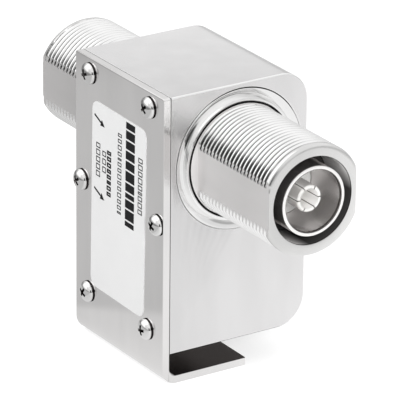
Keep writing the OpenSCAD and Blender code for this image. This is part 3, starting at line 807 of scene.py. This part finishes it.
def ink_row(bm, u, v_low, v_high, height, gap, stroke, widths):
    """Row of blocks up the label; each is a frame of the given stroke, or full when the stroke is 0."""
    unit = (v_high - v_low - gap * (len(widths) - 1)) / sum(widths)
    at = 0.0
    half = height / 2
    for width in widths:
        stop = at + width * unit
        outer = block_corners(u, v_low, at, stop, half)
        if stroke:
            ink_frame(bm, outer, block_corners(u, v_low, at + stroke, stop - stroke, half - stroke))
        else:
            ink_shape(bm, outer)
        at = stop + gap


def build_marks():
    """All marks on the label as one piece."""
    bm = bmesh.new()
    for u, v in ARROW_PLACES:
        ink_shape(bm, [turned_point(u, v, along, across, ARROW_TURN) for along, across in ARROW])
    for row in LABEL_ROWS:
        ink_row(bm, *row)
    marks = add_object("label_marks", mesh_from("label_marks", bm, merge=1e-8), INK)
    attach(marks, "root")


build_marks()


# Materials of the CAD nodes that are carried over

for row in frame["record"]["subparts"]:
    carried = frame["nodes"][row["node"]]
    carried.data.materials.clear()
    carried.data.materials.append(LOOKS[row["material_slot"]])


# Stage: pale floor, white world with soft light, and the photo's camera

FLOOR_REACH = 3.0
PAPER_TONE = 0.9
SHADOW_TONE = 0.5
PAPER_LIFT = 0.62
# Painted reflections: tones that the floor glows with to the metal's mirror rays, towards the picture's left
# and towards its right
FLOOR_LEFT = [(0.0, 1.0), (0.125, 0.95), (0.14, 0.77), (0.4, 0.81), (0.7, 0.8), (0.82, 0.4), (1.0, 0.35)]
FLOOR_RIGHT = [(0.0, 0.72), (0.14, 0.75), (0.25, 0.95), (0.32, 0.965), (0.4, 0.93), (0.64, 0.93),
               (0.8, 0.78)]
# Tones of the studio's sky by height
SKY = [(0.0, 0.4), (0.07, 0.45), (0.14, 0.8), (0.26, 0.78), (0.375, 0.8), (0.57, 0.97), (1.0, 0.97)]
# Round patches of the studio's sky: heading, cosines of the outer and inner edge, and tone
STUDIO_PATCHES = [((-0.46, -0.86, 0.17), 0.945, 0.975, 0.05),
                  ((-0.78, 0.52, 0.33), 0.88, 0.93, 1.5),
                  ((-0.15, 0.98, 0.1), 0.92, 0.97, 0.5)]
# Camera fitted to the photo: angles in degrees, aim and shift in millimetres, distance in metres
CAMERA_TURN = 32.97
CAMERA_TIP = 22.24
CAMERA_ROLL = 0.56
CAMERA_AIM = (8.25, -1.61, 38.95)
CAMERA_SHIFT = (0.126, 0.177)
CAMERA_DISTANCE = 1.0937
CAMERA_LENS = 389.35


def grey(tone):
    """Opaque grey of a tone."""
    return (tone, tone, tone, 1)


def floor_material():
    """White paper with the object's shadow to the camera, and a glow of soft studio tones to what mirrors
    it, as painted reflections.
    """
    material, nodes, links, shader = fresh_material("floor_paper")
    shader.inputs["Base Color"].default_value = grey(PAPER_TONE)
    shader.inputs["Roughness"].default_value = 0.9
    shader.inputs["Specular IOR Level"].default_value = 0.0
    lift = nodes.new("ShaderNodeEmission")
    lift.inputs["Color"].default_value = grey(1)
    lift.inputs["Strength"].default_value = PAPER_LIFT
    shadowed = nodes.new("ShaderNodeBsdfDiffuse")
    shadowed.inputs["Color"].default_value = grey(SHADOW_TONE)
    paper = nodes.new("ShaderNodeAddShader")
    links.new(shadowed.outputs["BSDF"], paper.inputs[0])
    links.new(lift.outputs["Emission"], paper.inputs[1])
    coords = nodes.new("ShaderNodeTexCoord")
    left = position_ramp(nodes, links, coords, (-0.7, 0.71, 0), 0.0, 0.3, FLOOR_LEFT)
    right = position_ramp(nodes, links, coords, (0.84, -0.54, 0), -0.1, 0.4, FLOOR_RIGHT)
    # The floor glows with these tones only to mirror rays: painted reflections
    glow = nodes.new("ShaderNodeEmission")
    glow.inputs["Strength"].default_value = 1.0
    links.new(product(nodes, links, left, right), glow.inputs["Color"])
    path = nodes.new("ShaderNodeLightPath")
    to_camera = path.outputs["Is Camera Ray"]
    to_mirror = path.outputs["Is Glossy Ray"]
    seen = mix_shaders(nodes, links, to_camera, shader.outputs["BSDF"], paper.outputs["Shader"])
    mirrored = mix_shaders(nodes, links, to_mirror, seen, glow.outputs["Emission"])
    links.new(mirrored, nodes["Material Output"].inputs["Surface"])
    return material


def build_floor():
    """Plain floor under the object."""
    bm = bmesh.new()
    bmesh.ops.create_grid(bm, x_segments=1, y_segments=1, size=FLOOR_REACH)
    mesh = bpy.data.meshes.new("floor")
    bm.to_mesh(mesh)
    bm.free()
    floor = add_object("floor", mesh, floor_material())


def studio_sky(nodes, links):
    """Sky by height, with the studio's round patches."""
    coords = nodes.new("ShaderNodeTexCoord")
    split = nodes.new("ShaderNodeSeparateXYZ")
    links.new(coords.outputs["Generated"], split.inputs["Vector"])
    sky = ramp(nodes, links, scaled(nodes, links, split.outputs["Z"], 0.0, 1.0), SKY)
    for heading, edge, core, tone in STUDIO_PATCHES:
        toward = nodes.new("ShaderNodeVectorMath")
        toward.operation = "DOT_PRODUCT"
        toward.inputs[1].default_value = Vector(heading).normalized()
        links.new(coords.outputs["Generated"], toward.inputs[0])
        stops = [(0.0, 1.0), (edge, 1.0), (core, tone), (1.0, tone)]
        sky = product(nodes, links, sky, ramp(nodes, links, toward.outputs["Value"], stops))
    return sky


def build_world():
    """White to the camera, and the studio's sky to everything else."""
    world = bpy.data.worlds.new("studio")
    bpy.context.scene.world = world
    world.use_nodes = True
    nodes, links = world.node_tree.nodes, world.node_tree.links
    nodes.clear()
    studio = nodes.new("ShaderNodeBackground")
    links.new(studio_sky(nodes, links), studio.inputs["Color"])
    studio.inputs["Strength"].default_value = 1.0
    white = nodes.new("ShaderNodeBackground")
    white.inputs["Color"].default_value = grey(1)
    white.inputs["Strength"].default_value = 1.0
    path = nodes.new("ShaderNodeLightPath")
    to_camera = path.outputs["Is Camera Ray"]
    seen = mix_shaders(nodes, links, to_camera, studio.outputs["Background"], white.outputs["Background"])
    out = nodes.new("ShaderNodeOutputWorld")
    links.new(seen, out.inputs["Surface"])


def area_light(name, place, target, size, power, mirrored=True):
    """Round lamp that looks at a target; mirrored says if metal shows its reflection."""
    data = bpy.data.lights.new(name, "AREA")
    data.shape = "DISK"
    data.size = size
    data.energy = power
    lamp = bpy.data.objects.new(name, data)
    bpy.context.scene.collection.objects.link(lamp)
    lamp.location = place
    lamp.rotation_euler = (Vector(target) - Vector(place)).to_track_quat("-Z", "Y").to_euler()
    lamp.visible_glossy = mirrored


def build_camera():
    """Camera at the photo's place and angle."""
    turn, tip, roll = (math.radians(angle) for angle in (CAMERA_TURN, CAMERA_TIP, CAMERA_ROLL))
    ahead = Vector((math.sin(turn) * math.cos(tip), math.cos(turn) * math.cos(tip), -math.sin(tip)))
    level = Vector((math.cos(turn), -math.sin(turn), 0))
    upright = level.cross(ahead)
    right = level * math.cos(roll) + upright * math.sin(roll)
    up = right.cross(ahead)
    data = bpy.data.cameras.new("photo_camera")
    data.sensor_width = 36
    data.lens = CAMERA_LENS
    data.clip_start = 0.05
    data.clip_end = 20
    camera = bpy.data.objects.new("photo_camera", data)
    bpy.context.scene.collection.objects.link(camera)
    aim = (Vector(CAMERA_AIM) - right * CAMERA_SHIFT[0] - up * CAMERA_SHIFT[1]) * MM
    axes = Matrix((right, up, -ahead)).transposed().to_4x4()
    camera.matrix_world = Matrix.Translation(aim - ahead * CAMERA_DISTANCE) @ axes
    bpy.context.scene.camera = camera


build_floor()
build_world()
area_light("key", place=(-0.6, 0.3, 1.3), target=(0, 0, 0.04), size=1.6, power=4.0)
area_light("port_fill", place=(-0.35, -0.9, 0.45), target=(0.007, -0.05, 0.057), size=0.4, power=6.0,
           mirrored=False)
build_camera()
bpy.context.scene.view_settings.view_transform = "Standard"
